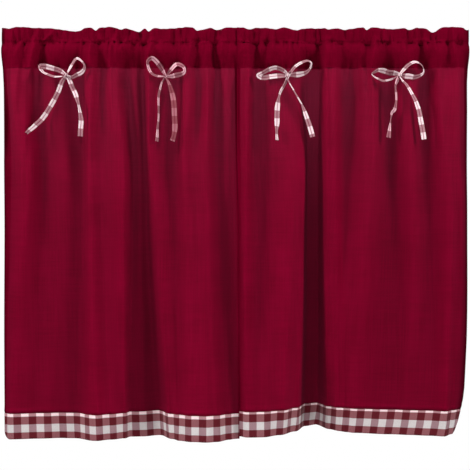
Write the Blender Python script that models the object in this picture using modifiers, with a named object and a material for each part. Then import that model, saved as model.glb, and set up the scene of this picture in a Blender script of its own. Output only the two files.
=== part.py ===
"""A pair of short rod pocket curtains that hang side by side on one rod.

Metres, +Z up, the front faces -Y. The origin is on the rod's axis, midway along the pair.
Each curtain is a heading with its rod pocket, a folded body cloth and a checked hem band.
Ribbon bows are sewn on under the pocket.
"""

import math
from collections import namedtuple

import bmesh
import bpy
from mathutils import Vector

MM = 0.001

# Driving sizes of the cloth
CLOTH_THICK = 1.5 * MM
GAP = 0.4 * MM  # between pieces that are sewn edge to edge
STITCH_LINE = -48 * MM  # height of the seam that closes the rod pocket
STITCH_DEPTH = 0.45  # share of the folds' depth that is left at that seam

# Heights at which the fold tables give their values, in millimetres, from the pocket's seam down
HEIGHTS = (-48, -96, -252, -407, -629, -868)

# The grids of the sheets, heights in millimetres
STEPS_PER_FOLD = 3
BODY_HEIGHTS = (-70, -96, -170, -252, -407, -518, -629)  # rows between the body's edges

# A row for each ridge and valley of a curtain, from left to right, in millimetres.
# across: where it is; forward: how far it stands in front of the rod's axis. Both are given
# at the last five heights. lift: how far the foot is raised there.
Fold = namedtuple("Fold", "across forward lift")
# band_top, band_foot: the heights of the hem band's edges, in millimetres.
Panel = namedtuple("Panel", "side folds band_top band_foot")

LEFT = Panel("left", (
    Fold((-518, -516, -514, -514, -512), (-18, -13, -8, -4, 0), 17),
    Fold((-492, -476, -488, -494, -498), (12, 13, 13, 12, 8), 0),
    Fold((-436, -437, -425, -422, -430), (-11, -9, -6, -4, -2), 0),
    Fold((-408, -378, -378, -385, -390), (3, 7, 4, -4, -10), 0),
    Fold((-352, -343, -340, -348, -365), (-14, -16, -18, -18, -14), 0),
    Fold((-319, -321, -318, -311, -303), (14, 16, 20, 26, 33), 1),
    Fold((-296, -292, -294, -286, -275), (3, 8, 10, 14, 17), 1),
    Fold((-272, -263, -267, -260, -254), (14, 16, 17, 10, -4), 0),
    Fold((-240, -236, -240, -241, -240), (-13, -18, -24, -30, -37), 0),
    Fold((-224, -216, -218, -216, -213), (-4, -11, -16, -30, -47), 0),
    Fold((-207, -200, -198, -192, -178), (-19, -20, -25, -36, -47), 0),
    Fold((-190, -187, -168, -160, -145), (12, 9, 8, 4, 4), 1),
    Fold((-132, -134, -134, -136, -124), (-14, -15, -14, -2, 22), 0),
    Fold((-104, -112, -101, -99, -95), (14, 16, 22, 32, 40), 0),
    Fold((-80, -88, -80, -76, -62), (-3, 8, 16, 30, 47), 0),
    Fold((-61, -66, -60, -55, -40), (11, 14, 18, 26, 40), 0),
    Fold((-43, -41, -32, -22, -14), (-14, -18, -20, -4, 18), 1),
    Fold((-19, -17, -13, -9, -1), (7, 3, -10, -14, 4), 1),
    Fold((7.5, 9, 11, 11, 9), (-14, -20, -26, -28, -14), 1),
), -813.5, -870)

RIGHT = Panel("right", (
    Fold((8.5, 8.5, 8.5, 8.5, 8.5), (-4, 0, 2, 4, 8), 0),
    Fold((24, 25, 21, 22, 26), (14, 16, 19, 22, 22), 0),
    Fold((44, 42, 53, 56, 60), (-15, -12, -4, 8, 20), 0),
    Fold((92, 118, 108, 105, 95), (5, 8, 8, 4, -2), 1),
    Fold((128, 143, 135, 135, 130), (-2, 4, -8, -24, -42), 2),
    Fold((163, 164, 164, 165, 162), (-34, -50, -69, -92, -112), 3),
    Fold((186, 185, 187, 190, 187), (-34, -51, -72, -99, -127), 4),
    Fold((203, 203, 207, 214, 222), (13, 11, 3, -30, -75), 2),
    Fold((216, 217, 224, 238, 250), (10, 8, 6, -10, -52), 1),
    Fold((249, 243, 242, 260, 277), (-16, -14, -8, -10, -46), 0),
    Fold((301, 298, 294, 290, 303), (15, 14, 11, 0, -42), 0),
    Fold((337, 343, 353, 350, 346), (-15, -13, -12, -10, -20), 0),
    Fold((378, 387, 398, 395, 386), (8, 12, 10, 4, -10), 0),
    Fold((421, 418, 427, 430, 430), (-18, -16, -10, -4, 0), 0),
    Fold((448, 468, 476, 472, 462), (10, 13, 15, 14, 8), 0),
    Fold((487, 489, 491, 487, 480), (14, 8, 4, 0, -10), 2),
    Fold((513, 508, 507, 507, 500), (-20, -18, -16, -18, -26), 10),
), -808, -863.5)

# A row for each height of the heading's section, in millimetres, from the top edge down.
# half: half the depth from front to back. sway: share of the folds' depth.
# pucker: share of the small gathers.
Level = namedtuple("Level", "height half sway pucker")

HEADING_LEVELS = (
    Level(24, 1.2, 0.5, 0.0),
    Level(12, 1.3, 0.25, 0.0),
    Level(8, 7.2, 0.0, 0.5),
    Level(0, 12.4, 0.0, 1.0),
    Level(-14, 12.0, 0.0, 1.0),
    Level(-32, 7.0, 0.5, 0.7),
)
HEADER_TOP = 41.5  # millimetres over the rod's axis
HEADER_SWAY = 0.8
EDGE_HALF = 1.2  # half the depth of the two layers where they are sewn together
TUNNEL_WALL = 1.6  # thickness of the cloth in front of the rod and behind it
TUNNEL_TOP = 9.4  # heights of the tunnel's ends, in millimetres
TUNNEL_FOOT = -42.5
TUNNEL_LEVELS = HEADING_LEVELS[2:]
TUNNEL_OVERRUN = 0.006  # how far the cutter passes the heading's ends
HEADING_STATIONS = 46
PUCKER = 2.6  # depth of the small gathers, in millimetres
PUCKER_WAVES = (0.183, 0.117)  # radians for each millimetre, two waves that fall out of step

# Dips in the header's top edge, where its cloth turns back, in millimetres
Dip = namedtuple("Dip", "x drop width")

DIPS = (
    Dip(-512, 3, 8), Dip(-341, 7, 9), Dip(-308, 6, 6), Dip(-250, 5, 7), Dip(-224, 5, 8),
    Dip(-210, 6, 7), Dip(-192, 7, 6), Dip(-85, 6, 8), Dip(-43, 2, 8), Dip(29, 5, 8),
    Dip(91, 6, 9), Dip(136, 5, 7), Dip(202, 5, 8), Dip(248, 3, 9), Dip(289, 4, 6),
    Dip(393, 6, 8), Dip(439, 8, 9), Dip(516, 4, 8),
)

# Ribbon bows. A point of a ribbon is given from its knot's centre, in millimetres: x to the
# right, z up, and turn in degrees, 0 with the ribbon edge on to the front and 90 face on.
RIBBON_WIDE = 12.5 * MM
RIBBON_THICK = 1.2 * MM
RIBBON_CLEAR = 2.2 * MM  # from the cloth
RIBBON_STEPS = 2  # between two points of a route
PINCH = 0.5  # share of the ribbon's width that is left in the knot
PINCH_LENGTH = 18 * MM
KNOT_HALF = Vector((8.5 * MM, 7 * MM, 7.5 * MM))
KNOT_SEGMENTS = 12
KNOT_RINGS = 8
KNOT_STEPS = 5  # samples to each side where the cloth behind a knot is felt for
REACH_STEPS = 4  # the same behind a ribbon
RIBBON_SPAN = 22 * MM  # a ribbon bridges hollows in the cloth that reach this far to each side

Turn = namedtuple("Turn", "x z turn")
Bow = namedtuple("Bow", "name x z left_loop right_loop left_tail right_tail")

BOWS = (
    Bow(
        "bow_1", -374, -65,
        (Turn(-4, 3, 30), Turn(-18, 11, 40), Turn(-37, 19, 40), Turn(-52, 20, 20),
         Turn(-58, 13, 0), Turn(-49, 4, 10), Turn(-38, -3, 20), Turn(-20, -7, 10), Turn(-5, -1, 0)),
        (Turn(4, 3, 0), Turn(9, 17, 10), Turn(26, 34, 15), Turn(39, 29, 10), Turn(43, 17, 0),
         Turn(31, -2, -10), Turn(12, -5, 0), Turn(5, -1, 0)),
        (Turn(-2, -5, 40), Turn(-14, -33, 70), Turn(-27, -61, 80), Turn(-39, -84, 75),
         Turn(-56, -105, 70), Turn(-83, -131, 80)),
        (Turn(2, -5, 50), Turn(17, -30, 70), Turn(27, -55, 50), Turn(31, -75, 10),
         Turn(34, -100, 60), Turn(33, -136, 80)),
    ),
    Bow(
        "bow_2", -154, -68,
        (Turn(-4, 3, 0), Turn(-14, 16, 10), Turn(-27, 29, 10), Turn(-39, 27, 0),
         Turn(-38, 15, -10), Turn(-32, 2, 0), Turn(-20, -3, 10), Turn(-5, -1, 0)),
        (Turn(4, 3, 10), Turn(15, 16, 20), Turn(27, 25, 20), Turn(41, 21, 0), Turn(44, 10, 0),
         Turn(35, -1, 0), Turn(15, -3, 0), Turn(5, -1, 0)),
        (Turn(-2, -5, 20), Turn(-11, -31, 15), Turn(-15, -60, 10), Turn(-15, -98, 0),
         Turn(-18, -148, 10)),
        (Turn(2, -5, 60), Turn(10, -28, 70), Turn(17, -57, 65), Turn(20, -95, 60),
         Turn(17, -147, 70)),
    ),
    Bow(
        "bow_3", 117, -65,
        (Turn(-4, 3, 0), Turn(-12, 10, 10), Turn(-28, 17, 15), Turn(-42, 12, 30),
         Turn(-60, 11, 50), Turn(-68, 2, 70), Turn(-58, -6, 80), Turn(-32, -6, 80), Turn(-5, -1, 60)),
        (Turn(4, 3, 10), Turn(11, 16, 20), Turn(28, 28, 30), Turn(44, 32, 20), Turn(51, 25, 0),
         Turn(43, 10, -10), Turn(20, 0, 0), Turn(5, -1, 0)),
        (Turn(-2, -5, 40), Turn(-19, -22, 40), Turn(-23, -49, 15), Turn(-26, -70, 75),
         Turn(-26, -109, 80), Turn(-26, -143, 70)),
        (Turn(2, -5, 30), Turn(11, -38, 20), Turn(27, -62, 25), Turn(42, -95, 70),
         Turn(52, -136, 80)),
    ),
    Bow(
        "bow_4", 363, -64,
        (Turn(-4, 3, 50), Turn(-22, 7, 60), Turn(-39, 10, 50), Turn(-56, 6, 20),
         Turn(-64, -1, 0), Turn(-55, -10, 10), Turn(-39, -15, 20), Turn(-20, -9, 10), Turn(-5, -1, 0)),
        (Turn(4, 3, 0), Turn(15, 17, 10), Turn(31, 27, 15), Turn(45, 24, 10), Turn(54, 8, 0),
         Turn(44, -3, -10), Turn(27, -9, 0), Turn(5, -1, 0)),
        (Turn(-2, -5, 40), Turn(-11, -23, 50), Turn(-10, -55, 40), Turn(-15, -84, 70),
         Turn(-22, -106, 40), Turn(-26, -143, 60)),
        (Turn(2, -5, 60), Turn(15, -24, 75), Turn(27, -44, 80), Turn(39, -69, 75),
         Turn(46, -93, 70), Turn(52, -144, 80)),
    ),
)

BURGUNDY = (0.255, 0.007, 0.034, 1)
GINGHAM = (0.42, 0.14, 0.17, 1)
RIBBON = (0.5, 0.22, 0.25, 1)


def lerp(a, b, t):
    """From a to b as t goes from 0 to 1."""
    return a + (b - a) * t


def soft(t):
    """Runs from 0 to 1 with t and starts and ends level, as a fold does."""
    return t * t * (3 - 2 * t)


def stepped(t):
    """soft along the flat faces between a sheet's columns."""
    k = min(int(t * STEPS_PER_FOLD), STEPS_PER_FOLD - 1)
    return lerp(soft(k / STEPS_PER_FOLD), soft((k + 1) / STEPS_PER_FOLD), t * STEPS_PER_FOLD - k)


def hermite(h, values, k, z):
    """The smooth curve through values at heights h, between heights k and k + 1."""
    def slope(i):
        low, high = max(i - 1, 0), min(i + 1, len(h) - 1)
        return (values[high] - values[low]) / (h[high] - h[low])

    span = h[k + 1] - h[k]
    t = (z - h[k]) / span
    blend = soft(t)
    rise = (t - 2 * t**2 + t**3) * slope(k) + (t**3 - t**2) * slope(k + 1)
    return lerp(values[k], values[k + 1], blend) + span * rise


def at_height(column, z, stitch_share=1.0):
    """A fold's column, in metres, at height z. stitch_share scales it at the pocket's seam."""
    values = (column[0] * stitch_share, *column)
    height = min(max(z / MM, HEIGHTS[-1]), HEIGHTS[0])
    k = next(i for i in range(len(HEIGHTS) - 1) if height >= HEIGHTS[i + 1])
    return hermite(HEIGHTS, values, k, height) * MM


def cloth_at(folds, u, z):
    """Where a curtain's cloth is at height z, u folds from its left edge: across, forward."""
    i = min(int(u), len(folds) - 2)
    here, following = folds[i], folds[i + 1]
    across = lerp(at_height(here.across, z), at_height(following.across, z), u - i)
    depths = [at_height(fold.forward, z, STITCH_DEPTH) for fold in (here, following)]
    return across, lerp(*depths, stepped(u - i))


def forward_at(folds, x, z):
    """How far the cloth stands forward at x and height z."""
    places = [at_height(fold.across, z) for fold in folds]
    x = min(max(x, places[0]), places[-1])
    i = next(k for k in range(len(folds) - 1) if x <= places[k + 1])
    return cloth_at(folds, i + (x - places[i]) / (places[i + 1] - places[i]), z)[1]


def foot_line(panel, u):
    """Height of the hem band's lower edge, u folds from the left."""
    i = min(int(u), len(panel.folds) - 2)
    lift = lerp(panel.folds[i].lift, panel.folds[i + 1].lift, u - i)
    return (panel.band_foot + lift) * MM


def top_edge(x):
    """Height of the header's top edge, in millimetres, at x in millimetres."""
    return HEADER_TOP - sum(dip.drop * math.exp(-(((x - dip.x) / dip.width) ** 2)) for dip in DIPS)


def pucker_at(x):
    """Depth of the small gathers at x, in millimetres."""
    first, second = (math.sin(wave * x) for wave in PUCKER_WAVES)
    return PUCKER * (0.5 + 0.3 * first + 0.2 * second)


def front_at(folds, x, z):
    """How far the curtain's front face stands forward at x and height z."""
    if z <= STITCH_LINE:
        return forward_at(folds, x, z) + CLOTH_THICK / 2
    height = z / MM
    levels = (*HEADING_LEVELS, Level(STITCH_LINE / MM, EDGE_HALF, 1.0, 0.0))
    k = next((i for i in range(len(levels) - 1) if height >= levels[i + 1].height), 0)
    upper, lower = levels[k], levels[k + 1]
    t = min(max((upper.height - height) / (upper.height - lower.height), 0), 1)
    half, sway, pucker = (lerp(getattr(upper, name), getattr(lower, name), t)
                          for name in ("half", "sway", "pucker"))
    return (half + pucker * pucker_at(x / MM)) * MM + sway * forward_at(folds, x, STITCH_LINE)


def new_material(name, colour, roughness):
    """A plain Principled material."""
    material = bpy.data.materials.new(name)
    material.use_nodes = True
    shader = material.node_tree.nodes["Principled BSDF"]
    shader.inputs["Base Color"].default_value = colour
    shader.inputs["Roughness"].default_value = roughness
    shader.inputs["Metallic"].default_value = 0.0
    material.diffuse_color = colour
    return material


def new_object(name, bm, material, collection):
    """An object in collection with bm's mesh."""
    mesh = bpy.data.meshes.new(name)
    bm.to_mesh(mesh)
    bm.free()
    mesh.shade_smooth()
    mesh.materials.append(material)
    made = bpy.data.objects.new(name, mesh)
    collection.objects.link(made)
    return made


def solidify(sheet, thickness):
    """Gives an open sheet its thickness, half to each side."""
    modifier = sheet.modifiers.new("Thickness", "SOLIDIFY")
    modifier.thickness = thickness
    modifier.offset = 0
    modifier.use_even_offset = True
    modifier.use_quality_normals = True


def hang_sheet(name, folds, heights_at, material, collection):
    """A sheet on a curtain's folds. heights_at gives its rows' heights at u folds, foot first."""
    spans = len(folds) - 1
    rows = len(heights_at(0)) - 1
    bm = bmesh.new()
    bmesh.ops.create_grid(bm, x_segments=spans * STEPS_PER_FOLD, y_segments=rows, size=0.5)
    for vertex in bm.verts:
        u = (vertex.co.x + 0.5) * spans
        z = heights_at(u)[round((vertex.co.y + 0.5) * rows)]
        across, forward = cloth_at(folds, u, z)
        vertex.co = (across, -forward, z)
    sheet = new_object(name, bm, material, collection)
    solidify(sheet, CLOTH_THICK)
    return sheet


def body_cloth(name, panel, material, collection):
    """The cloth from the pocket's seam down to the hem band."""
    between = [height * MM for height in reversed(BODY_HEIGHTS)]
    heights = [panel.band_top * MM + GAP / 2, *between, STITCH_LINE - GAP / 2]
    return hang_sheet(name, panel.folds, lambda u: heights, material, collection)


def hem_band(name, panel, material, collection):
    """The checked band along the foot."""
    top = panel.band_top * MM - GAP / 2

    def heights_at(u):
        foot = foot_line(panel, u)
        return [foot, (foot + top) / 2, top]

    return hang_sheet(name, panel.folds, heights_at, material, collection)


def loft(name, sections, material, collection):
    """A closed body through sections that have the same number of points."""
    bm = bmesh.new()
    rings = [[bm.verts.new(point) for point in section] for section in sections]
    count = len(rings[0])
    for ring, following in zip(rings, rings[1:]):
        for k in range(count):
            after = (k + 1) % count
            bm.faces.new((ring[k], ring[after], following[after], following[k]))
    bm.faces.new(rings[0])
    bm.faces.new(rings[-1])
    bmesh.ops.recalc_face_normals(bm, faces=bm.faces)
    return new_object(name, bm, material, collection)


def heading_section(folds, x):
    """The outline of a heading at x: down its front, and up its back."""
    sway = forward_at(folds, x, STITCH_LINE)
    gather = pucker_at(x / MM)
    top = Level(top_edge(x / MM), EDGE_HALF, HEADER_SWAY, 0.0)
    foot = Level((STITCH_LINE + GAP / 2) / MM, EDGE_HALF, 1.0, 0.0)
    front, back = [], []
    for level in (top, *HEADING_LEVELS, foot):
        half = (level.half + level.pucker * gather) * MM
        front.append((x, -level.sway * sway - half, level.height * MM))
        back.append((x, -level.sway * sway + half, level.height * MM))
    return front + back[::-1]


def tunnel_section(folds, x, at):
    """The outline of the rod's tunnel at x, for the section that is cut at x = at."""
    sway = forward_at(folds, x, STITCH_LINE)
    gather = pucker_at(x / MM)
    front, back = [], []
    for level in TUNNEL_LEVELS:
        half = (level.half - TUNNEL_WALL + level.pucker * gather) * MM
        front.append((at, -level.sway * sway - half, level.height * MM))
        back.append((at, -level.sway * sway + half, level.height * MM))
    lowest = TUNNEL_LEVELS[-1]
    down = (lowest.height - TUNNEL_FOOT) / (lowest.height - STITCH_LINE / MM)
    apex = [(at, 0, TUNNEL_TOP * MM)]
    foot = [(at, -lerp(lowest.sway, 1, down) * sway, TUNNEL_FOOT * MM)]
    return apex + front + foot + back[::-1]


def heading(name, folds, material, collection, cutters):
    """The header ruffle and the rod pocket, open at both ends."""
    left, right = (at_height(fold.across, STITCH_LINE) for fold in (folds[0], folds[-1]))
    places = [lerp(left, right, k / HEADING_STATIONS) for k in range(HEADING_STATIONS + 1)]
    made = loft(name, [heading_section(folds, x) for x in places], material, collection)
    sections = [tunnel_section(folds, left, left - TUNNEL_OVERRUN)]
    sections += [tunnel_section(folds, x, x) for x in places]
    sections += [tunnel_section(folds, right, right + TUNNEL_OVERRUN)]
    tunnel = loft(name + "_tunnel", sections, material, cutters)
    combine(made, tunnel, "DIFFERENCE")
    return made


def combine(target, other, operation, solver="EXACT"):
    """Cuts other out of target, or joins it on."""
    other.hide_render = True
    other.display_type = "WIRE"
    modifier = target.modifiers.new(other.name, "BOOLEAN")
    modifier.operation = operation
    modifier.solver = solver
    modifier.object = other


def catmull_rom(points, k, t):
    """The smooth curve through points, between points k and k + 1."""
    before, start, end, after = (points[min(max(i, 0), len(points) - 1)] for i in range(k - 1, k + 3))
    return 0.5 * (
        2 * start
        + (end - before) * t
        + (2 * before - 5 * start + 4 * end - after) * t**2
        + (3 * start - before - 3 * end + after) * t**3
    )


def reach_at(bow, x, z):
    """How far the curtain stands forward behind a ribbon at x and z. A ribbon bridges hollows."""
    folds = (LEFT if bow.x < 0 else RIGHT).folds
    shares = [k / REACH_STEPS for k in range(-REACH_STEPS, REACH_STEPS + 1)]
    return max(front_at(folds, x + a * RIBBON_SPAN, z + b * RIBBON_WIDE / 2)
               for a in shares for b in shares)


def ribbon_route(turns):
    """A ribbon's points, turned to radians, at each step along it."""
    rows = [Vector((turn.x, turn.z, math.radians(turn.turn))) for turn in turns]
    samples = [catmull_rom(rows, k, step / RIBBON_STEPS)
               for k in range(len(rows) - 1) for step in range(RIBBON_STEPS)]
    return samples + [rows[-1]]


def knot_centre(bow):
    """A knot is sewn on: its rounded back stands GAP in front of the cloth."""
    x, z = bow.x * MM, bow.z * MM
    folds = (LEFT if bow.x < 0 else RIGHT).folds
    shares = [k / KNOT_STEPS for k in range(-KNOT_STEPS, KNOT_STEPS + 1)]
    reach = max(
        front_at(folds, x + a * KNOT_HALF.x, z + b * KNOT_HALF.z)
        + KNOT_HALF.y * math.sqrt(max(1 - a * a - b * b, 0))
        for a in shares for b in shares if a * a + b * b <= 1
    )
    return Vector((x, -reach - GAP, z))


def ribbon(name, bow, turns, material, cutters):
    """One loop or tail of a bow, pinched where it enters the knot."""
    knot = knot_centre(bow)
    route = ribbon_route(turns)
    steps = len(route) - 1
    bm = bmesh.new()
    bmesh.ops.create_grid(bm, x_segments=steps, y_segments=1, size=0.5)
    for vertex in bm.verts:
        k = round((vertex.co.x + 0.5) * steps)
        before, after = route[max(k - 1, 0)], route[min(k + 1, steps)]
        way = Vector((after[0] - before[0], 0, after[1] - before[1])).normalized()
        turn = route[k][2]
        across = Vector((0, math.cos(turn), 0)) + way.cross(Vector((0, 1, 0))) * math.sin(turn)
        offset = Vector((route[k][0], 0, route[k][1])) * MM
        share = soft(min(offset.length / PINCH_LENGTH, 1))
        width = lerp(PINCH, 1, share) * RIBBON_WIDE
        stand = lerp(GAP, RIBBON_CLEAR, share) + RIBBON_THICK / 2 + abs(math.cos(turn)) * width / 2
        reach = reach_at(bow, knot.x + offset.x, knot.z + offset.z)
        middle = Vector((knot.x + offset.x, -reach - stand, knot.z + offset.z))
        middle.y = min(middle.y, lerp(knot.y, middle.y, share))
        vertex.co = middle + across * vertex.co.y * width
    strip = new_object(name, bm, material, cutters)
    solidify(strip, RIBBON_THICK)
    return strip


def ribbon_bow(bow, material, collection, cutters):
    """A bow: its knot, two loops and two free tails, in one piece."""
    bm = bmesh.new()
    bmesh.ops.create_uvsphere(bm, u_segments=KNOT_SEGMENTS, v_segments=KNOT_RINGS, radius=1)
    centre = knot_centre(bow)
    for vertex in bm.verts:
        vertex.co = centre + vertex.co * KNOT_HALF
    knot = new_object(bow.name, bm, material, collection)
    for part in ("left_loop", "right_loop", "left_tail", "right_tail"):
        strip = ribbon(f"{bow.name}_{part}", bow, getattr(bow, part), material, cutters)
        combine(knot, strip, "UNION", "MANIFOLD")
    return knot


def main():
    for old in list(bpy.data.objects):
        bpy.data.objects.remove(old, do_unlink=True)
    curtains = bpy.data.collections.new("rod_pocket_curtain")
    cutters = bpy.data.collections.new("cutters")
    bpy.context.scene.collection.children.link(curtains)
    bpy.context.scene.collection.children.link(cutters)
    for panel in (LEFT, RIGHT):
        cloth = new_material(f"cloth_{panel.side}", BURGUNDY, 0.85)
        body_cloth(f"cloth_{panel.side}", panel, cloth, curtains)
        double_cloth = new_material(f"heading_{panel.side}", BURGUNDY, 0.8)
        heading(f"heading_{panel.side}", panel.folds, double_cloth, curtains, cutters)
        checked = new_material(f"hem_band_{panel.side}", GINGHAM, 0.85)
        hem_band(f"hem_band_{panel.side}", panel, checked, curtains)
    for bow in BOWS:
        ribbon_bow(bow, new_material(bow.name, RIBBON, 0.7), curtains, cutters)


main()
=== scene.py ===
"""The looks of a pair of short rod pocket curtains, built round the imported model.

Metres in Blender, millimetres in the tables, +Z up, the front faces -Y.
Every cloth piece is a fine sheet on the folds of the solid that it replaces.
"""

import math
from collections import namedtuple

import bpy
import numpy as np
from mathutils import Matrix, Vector, noise


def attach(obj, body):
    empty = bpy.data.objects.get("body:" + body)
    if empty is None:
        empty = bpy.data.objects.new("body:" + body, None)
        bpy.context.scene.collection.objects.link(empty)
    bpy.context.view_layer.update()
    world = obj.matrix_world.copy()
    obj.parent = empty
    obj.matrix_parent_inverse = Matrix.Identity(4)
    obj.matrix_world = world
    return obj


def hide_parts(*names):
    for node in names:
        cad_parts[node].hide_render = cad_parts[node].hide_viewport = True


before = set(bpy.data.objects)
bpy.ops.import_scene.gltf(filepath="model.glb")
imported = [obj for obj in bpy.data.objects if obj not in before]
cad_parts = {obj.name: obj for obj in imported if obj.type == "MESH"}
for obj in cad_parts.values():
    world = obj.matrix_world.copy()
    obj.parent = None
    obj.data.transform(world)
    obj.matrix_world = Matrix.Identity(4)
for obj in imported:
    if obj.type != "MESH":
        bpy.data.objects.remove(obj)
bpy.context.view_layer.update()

MM = 0.001

# The cloth as it was cut, in millimetres
FLAT_WIDTH = 660
SIDE_HEM = 11  # width of the turned side hems
HEM_BEHIND = 0.9  # how far a side hem lies behind the sheet

# The two seams of the rod pocket, by their heights over the rod's axis
STITCH_LINE = -48
HEADER_SEAM = 8

# Heights at which the folds are known. The tables give a value for each but the pocket's seam,
# which has the places of the height below it and less depth.
HEIGHTS = (STITCH_LINE, -96, -252, -407, -629, -868)
STITCH_DEPTH = 0.45  # share of the folds' depth that is left at the seam

# A row for each ridge and valley of a curtain, from left to right, in millimetres.
# across: where it is. forward: how far it stands in front of the rod's axis. lift: how far
# the foot is raised there.
Fold = namedtuple("Fold", "across forward lift")
# band_top, band_foot: the heights of the hem band's edges. check_start: how far along the
# cloth, from its left edge, the band's first white check begins. check_foot: height of the
# band's lowest row of checks. check: width of one check.
Panel = namedtuple("Panel", "side folds band_top band_foot check_start check_foot check")

LEFT = Panel("left", [Fold(*row) for row in (
    ((-518, -516, -514, -514, -512), (-18, -13, -8, -4, 0), 17),
    ((-488, -454, -465, -486, -498), (12, 17, 16, 12, 8), 0),
    ((-436, -429, -424, -421, -430), (-11, -7, -4, -3, -2), 0),
    ((-408, -382, -382, -387, -390), (3, 4, 1, -4, -9), 0),
    ((-352, -341, -342, -350, -362), (-14, -10, -5, -5, -7), 0),
    ((-319, -321, -318, -311, -303), (14, 16, 20, 26, 33), 1),
    ((-296, -292, -294, -286, -275), (3, 8, 10, 14, 17), 1),
    ((-268, -247, -248, -246, -246), (14, 16, 17, 10, -4), 0),
    ((-239, -228, -230, -233, -235), (-13, -16, -19, -19, -26), 0),
    ((-222, -212, -213, -212, -208), (-4, -9, -13, -17, -29), 0),
    ((-207, -200, -198, -188, -171), (-17, -16, -21, -33, -46), 0),
    ((-190, -187, -168, -156, -139), (12, 9, 9, 8, 8), 1),
    ((-132, -134, -134, -134, -124), (-14, -9, 1, 11, 24), 0),
    ((-104, -112, -101, -99, -95), (14, 16, 22, 32, 40), 0),
    ((-80, -88, -80, -76, -62), (-3, 8, 16, 30, 47), 0),
    ((-61, -66, -60, -55, -40), (11, 14, 18, 26, 40), 0),
    ((-43, -41, -32, -22, -14), (-14, -11, -9, 1, 18), 1),
    ((-19, -17, -13, -9, -1), (2, -6, -6, -2, 9), 1),
    ((7.5, 9, 11, 11, 9), (-11, -7, -5, -1, 6), 1),
)], -813.5, -870, 9, 15, 17.5)

RIGHT = Panel("right", [Fold(*row) for row in (
    ((8.5, 8.5, 8.5, 8.5, 8.5), (-4, 0, 2, 4, 8), 0),
    ((24, 25, 21, 22, 26), (14, 16, 19, 22, 22), 0),
    ((44, 42, 53, 56, 60), (-15, -12, -4, 8, 20), 0),
    ((96, 128, 123, 115, 99), (3, 1, 3, 2, -2), 1),
    ((130, 150, 149, 146.5, 134.5), (-2, 3, -8, -28, -45), 2),
    ((163, 164, 164, 165, 162), (-34, -50, -69, -92, -112), 3),
    ((186, 185, 187, 190, 187), (-34, -51, -72, -99, -127), 4),
    ((203, 203, 205, 205, 214), (13, 11, 3, -30, -75), 2),
    ((216, 217, 222, 227, 236), (10, 8, 6, -10, -55), 1),
    ((249, 243, 240, 243, 250), (-16, -14, -8, -9, -48), 0),
    ((301, 297, 288, 275, 266), (15, 14, 12, 3, -38), 0),
    ((337, 343, 353, 350, 346), (-15, -13, -12, -10, -20), 0),
    ((378, 387, 398, 395, 386), (8, 12, 10, 4, -10), 0),
    ((421, 418, 427, 430, 430), (-18, -12, -6, -3, 0), 0),
    ((448, 468, 476, 472, 462), (10, 13, 15, 14, 8), 0),
    ((487, 489, 491, 487, 480), (14, 8, 4, 0, -10), 2),
    ((513, 508, 507, 507, 500), (-20, -18, -16, -18, -26), 10),
)], -808, -863.5, 12, 16.5, 17.1)

# The grids of the sheets
COLUMN_PITCH = 2.7  # millimetres of cloth between two columns
HEADING_PITCH = 1.8
FEWEST_COLUMNS = 4  # from one ridge or valley to the next
BODY_ROWS = 176
SEAM_ROWS = 12  # the body's last rows, which are closer together
SEAM_REACH = 14  # height over the hem band at which they start
BAND_ROWS = 15
BODY_OVERLAP = 2.5  # how far the body's edges reach into the heading and the hem band

# The hem band has a layer to each side of the body and a rounded fold at its foot
BAND_HALF = 0.8  # half the depth of the two layers
FOOT_HALF = 0.7 * BAND_HALF  # the same where the fold starts to turn
FOOT_TURN = 0.004  # share of the band's height over which it turns

# How crisp the folds are, from 0 for soft waves to 1 for flat crests: at the rod's axis and
# from CRISP_REACH below it down
CRISP_TOP = 1.0
CRISP_FOOT = 0.15
CRISP_REACH = 380

# Where the two curtains meet, the right one passes over the left one's edge
MEETING = 8
LAP = 5
LAP_WIDTH = 9
LAP_START = 250  # below this the lap gets smaller, and it is gone at LAP_END
LAP_END = 400
TUCK = 2.4  # how far the left header's edge is tucked behind the right one's

# How far the right curtain's outer edge leaves its fold's line, by depth under the rod's axis
EDGE_START = 478  # the edge's fold is drawn out from here on
EDGE_REACH = 24
EDGE_SHIFTS = (
    (-42, 6.5), (0, 4.5), (75, 4.5), (140, 7), (230, 9), (340, 10.5), (650, 10.5), (760, 9),
    (785, 7), (804, 3.4), (839, -2.3), (864, -9),
)

# The body cloth rolls out over the hem band's seam and dips at the seam: depth of both, and
# the height over the band and the width of each
SEAM_ROLL = 2
ROLL_HEIGHT, ROLL_WIDTH = 7, 4.5
DIP_HEIGHT, DIP_WIDTH = 1, 2.5

# Painted light and shade on the folds: the colour is painted lighter on the crests and darker in the
# hollows. A crest is CREST_HEIGHT in front of the cloth that lies within about CREST_REACH of it.
CREST_REACH = 55
CREST_HEIGHT = 14
PAINTED_SHADE_SHARE = 0.22  # how much lighter a crest is and darker a hollow, as a share

# Painted shade along the pair's outer edges, where the cloth curls back
RIM_LEFT = 8  # how far in from the left edge
RIM_RIGHT = 20
RIM_DEPTH = 2.4  # at the very edge, in full hollows
RIM_POWER = 1.4  # how quickly it fades inwards

# A row for each height of the heading's section, from the top edge down. half: half the depth
# from front to back. sway: share of the folds' depth. pucker: share of the pocket's puckers.
Level = namedtuple("Level", "height half sway pucker")

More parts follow.
